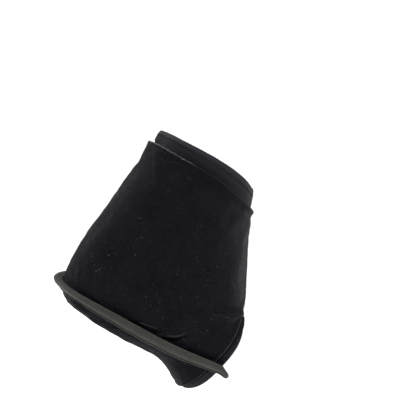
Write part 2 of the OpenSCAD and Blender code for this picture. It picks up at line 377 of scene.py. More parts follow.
class Shader:
    """A Principled material with a few short calls for its nodes."""

    def __init__(self, name, roughness=0.9, specular=0.3, sheen=0.0, sheen_rough=0.5, sheen_tint=(1, 1, 1)):
        self.material = bpy.data.materials.new(name)
        self.material.use_nodes = True
        self.nodes = self.material.node_tree.nodes
        self.links = self.material.node_tree.links
        self.bsdf = self.nodes["Principled BSDF"]
        self.bsdf.inputs["Roughness"].default_value = roughness
        self.bsdf.inputs["Specular IOR Level"].default_value = specular
        self.bsdf.inputs["Sheen Weight"].default_value = sheen
        self.bsdf.inputs["Sheen Roughness"].default_value = sheen_rough
        self.bsdf.inputs["Sheen Tint"].default_value = (*sheen_tint, 1)

    def add(self, kind, inputs=None, **settings):
        node = self.nodes.new(kind)
        for key, value in settings.items():
            setattr(node, key, value)
        for key, value in (inputs or {}).items():
            node.inputs[key].default_value = value
        return node

    def place(self):
        """Coordinates in metres that go with the piece."""
        return self.add("ShaderNodeTexCoord").outputs["Object"]

    def cloth_place(self):
        """Lengths along the cloth, in metres."""
        return self.add("ShaderNodeUVMap", uv_map="cloth").outputs["UV"]

    def noise(self, where, scale, detail=2.0, rough=0.5):
        node = self.add("ShaderNodeTexNoise", {"Scale": scale, "Detail": detail, "Roughness": rough})
        self.links.new(where, node.inputs["Vector"])
        return node.outputs["Fac"]

    def cells(self, where, scale):
        node = self.add("ShaderNodeTexVoronoi", {"Scale": scale})
        self.links.new(where, node.inputs["Vector"])
        return node.outputs["Distance"]

    def ribs(self, where, pitch, direction="X", distortion=0.0):
        """Ridges a pitch apart, in metres."""
        node = self.add("ShaderNodeTexWave", {"Scale": math.pi / (10 * pitch), "Distortion": distortion})
        node.bands_direction = direction
        self.links.new(where, node.inputs["Vector"])
        return node.outputs["Fac"]

    def ramp(self, value, *stops):
        node = self.add("ShaderNodeValToRGB")
        band = node.color_ramp.elements
        while len(band) < len(stops):
            band.new(0.5)
        for element, (place, colour) in zip(band, stops):
            element.position = place
            element.color = (*colour, 1)
        self.links.new(value, node.inputs["Fac"])
        return node.outputs["Color"]

    def maths(self, kind, a, b):
        node = self.add("ShaderNodeMath", operation=kind)
        for socket, value in zip(node.inputs, (a, b)):
            if isinstance(value, (int, float)):
                socket.default_value = value
            else:
                self.links.new(value, socket)
        return node.outputs["Value"]

    def average(self, a, b, share):
        return self.maths("ADD", self.maths("MULTIPLY", a, 1 - share), self.maths("MULTIPLY", b, share))

    def mix(self, amount, a, b):
        node = self.add("ShaderNodeMix", data_type="RGBA")
        self.links.new(amount, node.inputs["Factor"])
        for socket, value in zip((node.inputs[6], node.inputs[7]), (a, b)):
            if isinstance(value, tuple):
                socket.default_value = (*value, 1)
            else:
                self.links.new(value, socket)
        return node.outputs[2]

    def relief(self, height, depth, strength=1.0, under=None):
        """A bump of the given depth in metres."""
        node = self.add("ShaderNodeBump", {"Distance": depth, "Strength": strength})
        self.links.new(height, node.inputs["Height"])
        if under is not None:
            self.links.new(under, node.inputs["Normal"])
        return node.outputs["Normal"]

    def finish(self, colour, normal=None, roughness=None):
        for name, value in (("Base Color", colour), ("Normal", normal), ("Roughness", roughness)):
            if value is not None:
                self.links.new(value, self.bsdf.inputs[name])
        return self.material


def loop_cloth(name, dark, light, sheen):
    """Brushed loop cloth: a short pile with fibre clumps, faint patches and a little lint."""
    s = Shader(name, roughness=0.9, specular=0.0, sheen=sheen, sheen_rough=0.35)
    here = s.place()
    pile = s.noise(here, 1100, 4, 0.7)
    tuft = s.cells(here, 900)
    patch = s.noise(here, 38, 3, 0.6)
    shade = s.average(pile, patch, 0.2)
    base = s.ramp(shade, (0.36, dark), (0.64, light))
    speck = s.ramp(s.cells(here, 560), (0.0, (1, 1, 1)), (0.2, (0, 0, 0)))
    rare = s.ramp(s.noise(here, 90, 2), (0.44, (0, 0, 0)), (0.60, (1, 1, 1)))
    colour = s.mix(s.maths("MULTIPLY", speck, rare), base, (0.010, 0.010, 0.011))
    fine = s.relief(pile, 0.0007, 1.0)
    soft = s.relief(tuft, 0.0004, 0.6, fine)
    return s.finish(colour, s.relief(patch, 0.0006, 0.3, soft))


def knit_cloth(name, dark, light, sheen, wale=0.0011, course=0.0014):
    """Fine stretch knit: wales down the cloth and courses across it."""
    s = Shader(name, roughness=0.9, specular=0.0, sheen=sheen, sheen_rough=0.35)
    cloth = s.cloth_place()
    weave = s.average(s.ribs(cloth, wale, "X", 0.4), s.ribs(cloth, course, "Y", 0.4), 0.4)
    fuzz = s.noise(s.place(), 2400, 2)
    colour = s.ramp(s.average(weave, fuzz, 0.5), (0.25, dark), (0.75, light))
    return s.finish(colour, s.relief(fuzz, 0.0002, 0.5, s.relief(weave, 0.00025, 0.8)))


def tape_cloth(name, dark, light, pitch=0.0009):
    """Woven tape: short twill ribs."""
    s = Shader(name, roughness=0.8, specular=0.05, sheen=0.02, sheen_rough=0.4)
    rib = s.ribs(s.cloth_place(), pitch, "DIAGONAL", 0.3)
    tone = s.average(rib, s.noise(s.place(), 2200, 2), 0.5)
    return s.finish(s.ramp(tone, (0.2, dark), (0.8, light)), s.relief(tone, 0.0003, 0.8))


def elastic_cloth(name):
    """Matte grey-olive elastic: lengthwise cords under a fine knitted cover."""
    s = Shader(name, roughness=0.75, specular=0.04, sheen=0.01, sheen_rough=0.4, sheen_tint=(0.97, 1, 0.93))
    cloth = s.cloth_place()
    cords = s.ribs(cloth, 0.0012, "Y", 0.15)
    threads = s.ribs(cloth, 0.0008, "X", 0.5)
    wear = s.noise(s.place(), 80, 3, 0.6)
    tone = s.average(s.average(threads, cords, 0.5), wear, 0.5)
    colour = s.ramp(tone, (0.25, (0.0016, 0.0018, 0.0014)), (0.75, (0.0044, 0.0047, 0.0038)))
    return s.finish(colour, s.relief(cords, 0.00014, 0.6, s.relief(threads, 0.00008, 0.6)))


def pile_tape(name, low, high, scale, depth, rough):
    """Hook or loop tape: a field of tiny ends."""
    s = Shader(name, roughness=rough, specular=0.25, sheen=0.05)
    here = s.place()
    tone = s.average(s.cells(here, scale), s.noise(here, 1800, 3), 0.4)
    return s.finish(s.ramp(tone, (0.15, low), (0.7, high)), s.relief(tone, depth, 1.0))


def foam_pad(name):
    s = Shader(name, roughness=0.95, specular=0.1)
    pores = s.cells(s.place(), 1400)
    colour = s.ramp(pores, (0.0, (0.05, 0.05, 0.055)), (0.5, (0.12, 0.12, 0.13)))
    return s.finish(colour, s.relief(pores, 0.0003, 0.8))


def film(name, dark, light):
    """Glossy film over cold gel, a little cloudy and creased."""
    s = Shader(name, roughness=0.3, specular=0.2)
    s.bsdf.inputs["Coat Weight"].default_value = 0.08
    s.bsdf.inputs["Coat Roughness"].default_value = 0.15
    here = s.place()
    cloud = s.noise(here, 60, 3, 0.6)
    crease = s.noise(here, 260, 4, 0.65)
    rough = s.ramp(crease, (0.3, (0.18, 0.18, 0.18)), (0.7, (0.34, 0.34, 0.34)))
    return s.finish(s.ramp(cloud, (0.3, dark), (0.7, light)), s.relief(crease, 0.0004, 0.5), rough)


def twisted_thread(name, value):
    s = Shader(name, roughness=0.7, specular=0.06, sheen=0.02)
    twist = s.ribs(s.place(), 0.0004, "DIAGONAL", 0.2)
    colour = s.ramp(twist, (0.2, (value * 0.6,) * 3), (0.8, (value,) * 3))
    return s.finish(colour, s.relief(twist, 0.0001, 0.7))


MATERIAL = {
    "shell": loop_cloth("brushed_loop_cloth", (0.00045, 0.00043, 0.00055), (0.0016, 0.00155, 0.0020), 0.0195),
    # edge: pale cut fibres along the mouth, partly a painted highlight on the edge
    "edge": loop_cloth("cut_edge_and_painted_highlight", (0.005, 0.005, 0.0054), (0.016, 0.0164, 0.0168), 0.04),
    # crease: paler cloth laid along the fold crests, a painted highlight where the light catches them
    "crease": loop_cloth("painted_crest_highlight", (0.0020, 0.0020, 0.0022), (0.0048, 0.0048, 0.0050), 0.03),
    "liner": knit_cloth("stretch_knit", (0.0014, 0.0014, 0.0018), (0.0042, 0.0040, 0.0046), 0.022),
    "binding": tape_cloth("folded_tape", (0.0020, 0.0020, 0.0024), (0.0060, 0.0060, 0.0065)),
    "sole": loop_cloth("dense_cloth", (0.0020, 0.0020, 0.0024), (0.0050, 0.0050, 0.0058), 0.02),
    "band": elastic_cloth("matte_elastic"),
    "hook": pile_tape("hook_tape", (0.004, 0.004, 0.004), (0.018, 0.018, 0.018), 900, 0.0005, 0.5),
    "loop": pile_tape("loop_tape", (0.006, 0.006, 0.007), (0.022, 0.022, 0.024), 1300, 0.0006, 0.9),
    "foam": foam_pad("foam_laminate"),
    "film": film("welded_film", (0.002, 0.012, 0.045), (0.006, 0.030, 0.085)),
    "gel": film("film_over_gel", (0.004, 0.030, 0.090), (0.012, 0.070, 0.160)),
    "label": tape_cloth("label_tape", (0.42, 0.42, 0.40), (0.60, 0.60, 0.57), 0.0005),
    "thread": twisted_thread("black_thread", 0.006),
    "band_thread": twisted_thread("grey_thread", 0.011),
    "lint": twisted_thread("lint_fibre", 0.05),
}


def dress(obj, material, body, slot, *replaced):
    """The piece's material and body, and the CAD nodes that it stands for; its record slot is not used."""
    if material:
        obj.data.materials.append(MATERIAL[material])
    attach(obj, body)
    if replaced:
        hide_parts(*replaced)
    return obj


# ---- cloth simulation -------------------------------------------------------


def settle(points, pins, pressure, fullness, cap):
    """Lets a closed sleeve of cloth swell and wrinkle between its pinned points, moving each cap at most.

    Returns how far every point moved."""
    nu, nf = points.shape[:2]
    faces = []
    for i in range(nu - 1):
        for j in range(nf):
            a, b = i * nf + j, i * nf + (j + 1) % nf
            faces.append((a, a + nf, b + nf, b))
    obj = add_object("settling", points.reshape(-1, 3), faces)
    group = obj.vertex_groups.new(name="pins")
    grip = np.round(pins.ravel(), 1)
    for level in np.unique(grip[grip > 0]):
        group.add(np.nonzero(grip == level)[0].tolist(), float(level), "REPLACE")
    mod = obj.modifiers.new("cloth", "CLOTH")
    mod.settings.quality = 5
    mod.settings.mass = 0.2
    mod.settings.tension_stiffness = 25
    mod.settings.compression_stiffness = 25
    mod.settings.shear_stiffness = 10
    mod.settings.bending_stiffness = 0.8
    mod.settings.shrink_min = -fullness
    mod.settings.shrink_max = -fullness
    mod.settings.vertex_group_mass = "pins"
    mod.settings.use_pressure = True
    mod.settings.uniform_pressure_force = pressure
    mod.settings.effector_weights.gravity = 0
    mod.collision_settings.use_collision = False
    scene = bpy.context.scene
    for number in range(1, 21):
        scene.frame_set(number)
    shape = obj.evaluated_get(bpy.context.evaluated_depsgraph_get())
    co = np.empty(len(shape.data.vertices) * 3)
    shape.data.vertices.foreach_get("co", co)
    scene.frame_set(1)
    bpy.data.objects.remove(obj)
    moved = co.reshape(points.shape) / MM - points
    far = np.linalg.norm(moved, axis=-1, keepdims=True)
    return moved * np.minimum(1, cap / np.maximum(far, 1e-6))


def resample(grid, u0, f0, u, f):
    """A grid's values at other marks, f running once round."""
    f0 = np.append(f0, 360)
    grid = np.concatenate([grid, grid[:, :1]], axis=1)
    out = np.empty((len(u), len(f), 3))
    for k in range(3):
        part = np.array([np.interp(f, f0, line) for line in grid[..., k]])
        out[..., k] = np.array([np.interp(u, u0, line) for line in part.T]).T
    return out


# ---- heel band --------------------------------------------------------------

# Inside of the band's medial half, from the heel to the front: x, y, z and the strap's width
BAND = [(-86.2, 0, 14.2, 7.4), (-85.8, -10, 12.6, 7.3), (-82.2, -20, 12.1, 7.1), (-75, -30.4, 13.2, 6.9),
        (-66, -39, 14.7, 6.8), (-56, -44, 16.1, 7.1), (-46, -46.3, 17.6, 7.4), (-34, -47.1, 19.1, 8),
        (-18, -47.3, 21, 8.8), (0, -47.5, 23, 9.6), (20, -47.7, 25.8, 9.4), (42, -48, 29.6, 9.4),
        (60, -48.6, 33.8, 9.4), (72, -49.1, 37.2, 9), (82, -49.2, 39.8, 8.4), (89, -49.2, 41.1, 7),
        (95, -49.2, 42.1, 4)]
TIP_W = 6.2
# The lateral half against it: x, how much higher it runs, and how much further from HEEL_X
LATERAL = np.array([(-86.2, 0, 0), (-85.8, 2, 0.4), (-82.2, 4.9, 1.7), (-66, 5.7, 1.6), (-46, 5.5, 0.7),
                    (20, 5.4, 0), (42, 4.4, 0), (60, 2.8, 0), (82, 0, 0)])
HEEL_X = -46
BAND_RISE = 0.174
BAND_UP = np.array([-BAND_RISE, 0, 1]) / math.hypot(BAND_RISE, 1)
FOLD_X = 84


def band_height(x):
    """Height of the band's middle at x."""
    near = np.array([b[:3:2] for b in BAND])
    return np.interp(x, near[:, 0], near[:, 1])


def lateral(b):
    away = unit(np.array([min(0, b[0] - HEEL_X), -b[1]]))
    lift, out = (np.interp(b[0], LATERAL[:, 0], LATERAL[:, k]) for k in (1, 2))
    return np.array([b[0] + out * away[0], -b[1] + out * away[1], b[2] + lift, b[3]])


# The strap's section: height as a share of its half width, and depth from its inside in millimetres.
# The upper part is a soft round roll, and its lower edge is doubled into a thin lip.
STRAP = [(-0.80, 0.0), (-0.4, -0.3), (0, -0.4), (0.45, -0.3), (0.8, 0.1), (0.97, 1.1), (1.0, 2.2),
         (0.93, 3.4), (0.74, 4.4), (0.48, 4.95), (0.2, 5.0), (-0.08, 4.6), (-0.33, 3.8), (-0.50, 2.9),
         (-0.60, 2.2), (-0.66, 1.95), (-0.72, 2.15), (-0.84, 2.35), (-0.95, 2.0), (-1.0, 1.3), (-0.95, 0.5)]


def heel_band():
    half = [np.array(b, float) for b in BAND]
    line = smooth_line(half[:0:-1] + [lateral(b) for b in half], 8)
    mid = line[:, :3]
    run = unit(np.gradient(mid, axis=0))
    out = unit(np.cross(BAND_UP, run))
    length = np.concatenate([[0], np.linalg.norm(np.diff(mid, axis=0), axis=-1).cumsum()])
    end = np.minimum(length, length[-1] - length)
    share, depth = np.array(smooth_line(STRAP + STRAP[:1], 2))[:-1].T
    tip = np.sqrt(np.clip(1 - (1 - end / 4.5) ** 2 * (end < 4.5), 0.10, 1))
    plump = bump(length - length[-1] / 2, 42)[:, None]
    mid = mid - BAND_UP * (2.4 * smooth((10 - end) / 10))[:, None]
    wobble = np.random.default_rng(4)
    phase = wobble.uniform(0, 6.3, 6)
    wave = sum(np.sin(length / s + p) for s, p in zip((3.1, 4.7, 6.3, 9.0, 14.0, 23.0), phase)) / 3
    lip = smooth((0.5 - share * 1.0 - 0.95) / 0.25)[None, :] * smooth((end - 18) / 25)[:, None]
    wide = np.maximum(line[:, 3:], TIP_W)
    height = share[None, :] * wide / 2 * tip[:, None] - lip * (0.6 + 0.45 * wave[:, None])
    crease = 0.35 * bump(share + 0.05 * np.sin(length / 11)[:, None] + 0.30, 0.10)
    crease = crease * smooth((end - 14) / 20)[:, None]
    roll = 1 + 0.05 * np.sin(length / 17 + 1)[:, None]
    deep = depth[None, :] * tip[:, None] * roll * (1 + 0.35 * plump) - 1.7 * plump
    deep = deep - 1.0 * smooth((end - 22) / 30)[:, None] * (depth < 2.5)
    # The inner face presses into the cloth round the heel, so that no gap shows between them
    deep = deep - 1.8 * bump(length - length[-1] / 2, 50)[:, None] * (depth < 2.5)
    deep = deep - crease * (depth > 2) + lip * 0.25 * wave[:, None]
    rings = mid[:, None] + height[..., None] * BAND_UP + deep[..., None] * out[:, None]
    band = skinned("heel_band_elastic", rings)
    mod = band.modifiers.new("rounder", "SUBSURF")
    mod.levels = mod.render_levels = 1
    dress(band, "band", "heel_band", "band_elastic", "heel_band")
    return mid, out, line[:, 3]


band_mid, band_out, band_width = heel_band()


def bar_tacks():
    """A tight zigzag of thread across each end of the band."""
    for side, name in ((-1, "medial"), (1, "lateral")):
        here = [i for i in range(len(band_mid)) if 74 < band_mid[i, 0] < 81 and band_mid[i, 1] * side > 0]
        i = min(here, key=lambda k: abs(band_mid[k, 0] - 77.5))
        paths = []
        for x in (76.0, 79.0):
            share = np.linspace(-0.42, 0.62, 15)
            zig = 0.55 * (np.arange(15) % 2 * 2 - 1)
            deep = np.interp(share, (-0.6, -0.33, -0.08, 0.2, 0.48, 0.74), (2.3, 3.9, 4.7, 5.1, 5.05, 4.5))
            base = band_mid[i] + np.array([1, 0, BAND_RISE]) * (x - band_mid[i, 0])
            line = base + share[:, None] * band_width[i] / 2 * BAND_UP + deep[:, None] * band_out[i]
            line[:, 0] += zig
            paths.append((line, np.tile(band_out[i], (15, 1))))
        tack = stitches(f"bar_tack_{name}", paths, 0.9, 1.1, 0.4, 0.35, "band_thread")
        dress(tack, None, "heel_band", "thread", f"bartack_{name}")


def band_tabs():
    """Webbing that folds round the rim of the foot opening, under the band's end."""
    path = [(72, -48.1), (81, -48.1), (85.3, -48.1), (87.6, -47.2), (88.2, -45), (87.9, -42.6), (85.3, -41.1),
            (79, -41.05), (68, -41.05)]
    for side, name in ((-1, "medial"), (1, "lateral")):
        line = smooth_line(path, 6)
        x, y = line[:, 0], line[:, 1] * -side
        z = 39.5 + (x - FOLD_X) * BAND_RISE
        line = np.stack([x, y, z], axis=-1)
        run = unit(np.gradient(line, axis=0))
        out = unit(np.cross(BAND_UP, run)) * side
        share = np.linspace(-1, 1, 15)
        ribs = 0.12 * np.cos(share * 5 * math.pi)
        top = line[:, None] + share[None, :, None] * 3.5 * BAND_UP
        top = top + out[:, None] * (0.6 + ribs)[None, :, None]
        tab = rounded(f"rim_tab_{name}", top, np.broadcast_to(out[:, None], top.shape), 1.2)
        dress(tab, "band", "wrap", "band_elastic", f"band_tab_{name}")


bar_tacks()
band_tabs()

# ---- outer shell ------------------------------------------------------------

# How far the shell's mouth rises above its section, by the angle from the rear seam
MOUTH_RISE = ([0, 15, 30, 60, 80, 90, 100, 110, 120, 130, 150, 180],
              [1.5, 0, -0.5, -0.9, -0.6, 0.2, 1.8, 2.4, 1.8, 1.0, 0, 0])

# Two small folds where the band gathers the cloth above it. Each has points x, z along its crest, and
# how far it stands out and how wide it is.
PUCKERS = [([(-6, 28.4), (1, 30.6), (8, 32.9), (14, 34.9), (19, 36)], 2.3, 1.0),
           ([(19, 32), (27, 35.4), (35, 40), (39, 44), (41.5, 49)], 2.2, 1.1),
           ([(47, 40), (52, 45), (58, 53)], 0.4, 2.0)]


def band_gap(points):
    """Each point's height above the band's middle, square to the band."""
    return (points[..., 2] - band_height(points[..., 0])) / math.hypot(1, BAND_RISE)


def puckers(points):
    """Heights of the folds: a sharp crest with a hollow under it."""
    x, z = points[..., 0], points[..., 2]
    out = np.zeros(x.shape)
    for crest, lift, width in PUCKERS:
        line = smooth_line(crest, 6)
        top = np.interp(x, line[:, 0], line[:, 1])
        slope = (line[-1, 1] - line[0, 1]) / (line[-1, 0] - line[0, 0])
        gap = (z - top) / math.hypot(1, slope)
        long = smooth((x - line[0, 0] + 4) / 7) * smooth((line[-1, 0] + 5 - x) / 10)
        above = 0.6 * bump(gap, width * 1.2) + 0.4 * bump(gap, width * 5)
        ridge = np.where(gap > 0, above, bump(gap, width * 0.7))
        out += lift * long * (ridge - 0.9 * bump(gap + width * 2.6, width * 1.7))
    return out * (points[..., 1] < 0)


def hem_depth(f):
    """How far the stitched line round the foot opening is from the shell's end."""
    return 3.4 + 1.8 * np.cos(np.radians(f))


INSTEP = np.array([78, 0, 94])  # where the sections come together, in front


def shell_skin():
    half = spaced(0, 180, 104, (0, 1.5, 9), (180, 1.5, 9), (87, 13, 1.5))
    f = np.concatenate([half, 360 - half[-2::-1]])
    u = spaced(MOUTH_U, SHELL_END, 230, (MOUTH_U, 0.05, 12), (8.6, 0.55, 5), (SHELL_END, 0.06, 10))
    base = surface(u[:, None], f[None, :])
    coarse_u = np.linspace(MOUTH_U, SHELL_END, 70)
    coarse_f = np.linspace(0, 360, 120, endpoint=False)
    coarse = surface(coarse_u[:, None], coarse_f[None, :])
    seam = np.minimum(coarse_f, 360 - coarse_f)
    seam = np.minimum(seam, np.abs(coarse_f - 180))[None, :]
    pins = np.maximum(bump(coarse_u - MOUTH_U, 0.1), bump(coarse_u - SHELL_END, 0.2))[:, None]
    pins = np.maximum(pins, bump(seam, 3.5))
    pins = np.maximum(pins, bump(band_gap(coarse), 4) * (coarse_u > 5)[:, None])
    pins = np.maximum(pins, bump(np.linalg.norm(coarse - INSTEP, axis=-1), 14))
    moved = settle(coarse, pins, 0.06, 0.006, 0.7)
    skin = Skin(u, f, base + resample(moved, coarse_u, coarse_f, u, f))
    from_mouth, from_end = lengths(base, 0)
    near_seam = bump(base[..., 1], 1.3)
    gap = band_gap(base)
    height = 0.30 * ripple(base, 34, 11) * (1 - bump(from_mouth, 4))
    height = height - 0.45 * bump(gap, 5) * (u > 5.2)[:, None]
    height = height - 0.75 * near_seam
    height = height + puckers(base)
    turned = smooth((base[..., 0] + 42) / 16)  # the mouth's edge: cut behind, turned into a bead in front
    height = height + turned * (0.9 * bump(from_mouth - 2.0, 1.9) - 0.8 * bump(from_mouth - 7.5, 3.2))
    height = height + (1 - turned) * (0.5 + 0.35 * ripple(base, 5, 31)) * bump(from_mouth, 2.2)
    hem = from_end - hem_depth(f)[None, :]
    height = height + 0.55 * bump(hem, 0.7) - 0.35 * bump(hem + 1.6, 1.0) - 0.2 * smooth(-hem / 1.5)
    height = height + 0.10 * ripple(base, 6, 41)
    height = height * (1 - bump(np.linalg.norm(base - INSTEP, axis=-1), 5))  # flat where the rows meet
    skin.points = skin.points + skin.out * height[..., None]
    rise = np.interp(np.abs(f - 180), *MOUTH_RISE)[None, :] * smooth(1 - from_mouth / 14)
    skin.points = skin.points + unit(base[:1] - base[8:9]) * rise[..., None]
    sway = 0.12 * ripple(base, 7, 51) + 0.22 * ripple(base, 3.0, 53)
    skin.points[..., 2] += sway * bump(from_mouth, 2.0) * (1 - turned * 0.8)
    return Skin(u, f, skin.points)


skin = shell_skin()


def fold_crests():
    """A paler line along the top of each small fold: a painted highlight where the light catches the crest.
    """
    medial = skin.points[:, len(skin.f) // 2:]
    out = skin.out[:, len(skin.f) // 2:]
    for number, (crest, _, _) in enumerate(PUCKERS[:2]):
        marks = smooth_line(crest, 14)
        at_x, at_z = marks.T[..., None, None]
        gap = np.hypot(medial[None, ..., 0] - at_x, medial[None, ..., 2] - at_z)
        gap += 100 * (medial[..., 1] > -30)
        near = [np.unravel_index(k.argmin(), k.shape) for k in gap]
        normal = np.array([out[k] for k in near])
        line = np.stack([marks[:, 0], [medial[k][1] for k in near], marks[:, 1]], axis=-1)
        for _ in range(3):
            line[1:-1, 1] = (line[:-2, 1] + line[1:-1, 1] + line[2:, 1]) / 3
        taper = np.sin(np.linspace(0.02, math.pi - 0.02, len(line))) ** 0.7
        rough = 1 + 0.25 * ripple(line, 2.5, 33 + number)
        wide, tall = 1.1 * taper * rough, 0.9 * taper
        crest_line = tube(f"fold_crest_{number + 1}", line - normal * 0.15, normal, wide, tall, 8)
        # The tube's paler cloth is a painted highlight along the fold's crest
        dress(crest_line, "crease", "wrap", "shell_cloth")


def outer_panels():
    middle = len(skin.f) // 2
    for name, part in (("lateral", slice(0, middle + 1)), ("medial", slice(middle, None))):
        top, out = skin.points[:, part], skin.out[:, part]
        panel = rounded(f"outer_panel_{name}", top, out, SHELL_T)
        dress(panel, "shell", "wrap", "shell_cloth", f"shell_{name}")


def mouth_edge():
    """The cut edge of the shell, frayed and paler behind, and thinner where it turns into the bead. Its pale
    cloth is partly the cut fibres and partly a painted highlight along the edge.
    """
    for name, f in (("medial", np.linspace(183, 352, 420)), ("lateral", np.linspace(177, 8, 420))):
        line = skin.at(np.full(len(f), MOUTH_U + 0.004), f, -0.75)
        out = skin.normal(np.full(len(f), MOUTH_U + 0.01), f)
        fray = smooth((-34 - line[:, 0]) / 20)
        ends = smooth(np.minimum(np.arange(len(f)), np.arange(len(f))[::-1]) / 14)
        rough = 1 + 0.3 * ripple(line, 3.0, 61) * fray + 0.2 * ripple(line, 1.6, 62) * fray
        line = line + out * (0.15 * ripple(line, 3.2, 63) * fray)[:, None]
        line[:, 2] += 0.15 + 0.15 * ripple(line, 2.4, 64) * fray
        size = 1.15 * fray * rough * ends + 0.1
        line = line - out * (0.5 * (1 - fray))[:, None]
        edge = tube(f"mouth_edge_{name}", line, out, size, size * 1.1, 8)
        dress(edge, "edge", "wrap", "shell_cloth")


def rim_piping():
    """A turned edge that runs round the foot opening where the shell ends."""
    f = np.linspace(1, 359, 480)
    u = np.full(len(f), SHELL_END - 0.06)
    line = skin.at(u, f, -0.15)
    out = skin.normal(u, f)
    size = 1.5 + 0.12 * ripple(line, 9, 71)
    dress(tube("rim_piping", line, out, size, size, 10), "shell", "wrap", "shell_cloth")


def shell_stitching():
    paths = []
    for f, end in ((2.9, 4.9), (357.1, 4.9), (177.1, SHELL_END - 0.25), (182.9, SHELL_END - 0.25)):
        u = np.linspace(MOUTH_U + 0.15, end, 260)
        full = np.full(len(u), f)
        paths.append((skin.at(u, full, 0.02), skin.normal(u, full)))
    u = np.linspace(SHELL_END - 3.5, SHELL_END, 120)
    for start, end in ((4, 176), (184, 356)):
        f = np.linspace(start, end, 220)
        gap = lengths(skin.at(u[:, None], f[None, :], np.zeros((120, 220))), 0)[1]
        here = np.array([np.interp(-d, -g, u) for g, d in zip(gap.T, hem_depth(f))])
        paths.append((skin.at(here, f, 0.1), skin.normal(here, f)))
    dress(stitches("shell_topstitching", paths), None, "wrap", "thread")


outer_panels()
fold_crests()
mouth_edge()
rim_piping()
shell_stitching()

# ---- liner ------------------------------------------------------------------


def liner_halves():
    u = spaced(0, RIM_U, 130, (0, 0.6, 2), (RIM_U, 0.3, 3))
    for name, start in (("lateral", 0), ("medial", 180)):
        f = edged(start, start + 180, 84, 0.01, 5)
        outer = liner_at(u[:, None], f[None, :])
        inner = liner_at(u[:, None], f[None, :], LINER_T)
        half = layer(f"liner_{name}_knit", outer, inner)
        dress(half, "liner", "wrap", "liner_cloth", f"liner_{name}")


def hem(name, u_edge, inward, node, tall, over):
    """A tape folded over the liner's rim, half outside it and half inside."""
    f = np.linspace(0, 360, 200, endpoint=False)
    deep = LINER_T
    outside = [(tall, -over), (tall * 0.6, -over * 1.1), (tall * 0.25, -over * 1.15), (0.08, -over),
               (0.0, -over * 0.7), (-0.045, 0), (-0.06, deep / 2), (-0.045, deep), (0.0, deep + over * 0.7),
               (0.08, deep + over), (tall * 0.25, deep + over * 1.15), (tall * 0.6, deep + over * 1.1),
               (tall, deep + over)]
    inside = [(tall, -0.05), (tall * 0.6, -0.05), (tall * 0.25, -0.05), (0.1, -0.05), (0.06, 0.1),
              (0.03, 0.4), (0.02, deep / 2), (0.03, deep - 0.4), (0.06, deep - 0.1), (0.1, deep + 0.05),
              (tall * 0.25, deep + 0.05), (tall * 0.6, deep + 0.05), (tall, deep + 0.05)]
    rings = [np.array([liner_at(np.full(len(f), u_edge + inward * v), f, d) for v, d in side])
             for side in (outside, inside)]
    dress(layer(name, *rings, closed=True), "liner", "wrap", "binding", node)
    away = liner_at(np.full(len(f), u_edge + inward * tall * 0.8), f, -over - 0.1)
    middle = away.mean(axis=0)
    return away, unit(away - middle)


def inner_details():
    """Tapes over the seams between the layers, and the blank label in the back of the cuff."""
    for name, f0, f1, u1 in (("rear", 170.5, 189.5, 10.5), ("front", -9.5, 9.5, 5.5)):
        u, f = edged(1.5, u1, 90, 0.01, 4)[:, None], edged(f0, f1, 24)[None, :]
        tape = rounded(f"{name}_seam_cover", skin.at(u, f, -SHELL_T - 0.12), skin.normal(u, f), 0.4)
        dress(tape, "binding", "wrap", "binding", f"{name}_seam_tape")
    u, f = edged(0.5, 0.98, 30)[:, None], edged(172, 188, 30)[None, :]
    outer, inner = liner_at(u, f, LINER_T + 0.1), liner_at(u, f, LINER_T + 0.45)
    label = layer("blank_label", outer, inner)
    dress(label, "label", "wrap", "label", "care_label")


liner_halves()
hem("cuff_hem", 0, 1, "cuff_binding", 0.32, 0.5)
foot_line = hem("foot_hem", RIM_U, -1, "foot_binding", 0.42, 0.45)
dress(stitches("hem_stitching", [foot_line], 3.0, 2.2, 0.45, 0.35), None, "wrap", "thread")
inner_details()

# ---- pads inside ------------------------------------------------------------


def pad(name, u0, u1, f0, f1, outer, thick, quilt):
    """A quilted pad under the shell, outer deep in it; quilt is the distance between its sewn lines."""
    u, f = edged(u0, u1, 60)[:, None], edged(f0, f1, 70)[None, :]
    top = surface(u, f, outer)
    down, over = lengths(top, 0)[0], lengths(top, 1)[0]
    line = np.minimum(np.abs((down + over) % quilt - quilt / 2), np.abs((down - over) % quilt - quilt / 2))
    edge = np.minimum(np.minimum(*lengths(top, 0)), np.minimum(*lengths(top, 1)))
    slack = 0.4 * thick * np.maximum(bump(line, 1.3), 1 - smooth(edge / 3))
    return layer(name, surface(u, f, outer + slack), surface(u, f, outer + thick - slack))


def pads():
    cushion = pad("heel_cushion_pad", 5.5, 7.9, 121, 239, 2.2, 1.7, 12)
    dress(cushion, "foam", "wrap", "foam", "heel_cushion")
    for name, f0, f1 in (("medial", 221, 309), ("lateral", 51, 139)):
        sheet = pad(f"insulation_pad_{name}", 2.05, 4.45, f0, f1, 1.95, 0.8, 15)
        dress(sheet, "foam", "wrap", "foam", f"insulation_{name}")


pads()

# ---- sole patch, front tape, and the flap with its tapes --------------------


def patch_marks(u0, u1, f0, f1, nu, nf, corner=0.12):
    """Marks over a patch of the (u, f) plane with rounded corners."""
    s, t = np.meshgrid(edged(-1, 1, nu), edged(-1, 1, nf), indexing="ij")
    s, t = s * np.sqrt(1 - corner * t**8), t * np.sqrt(1 - corner * s**8)
    return (u0 + u1) / 2 + s * (u1 - u0) / 2, (f0 + f1) / 2 + t * (f1 - f0) / 2


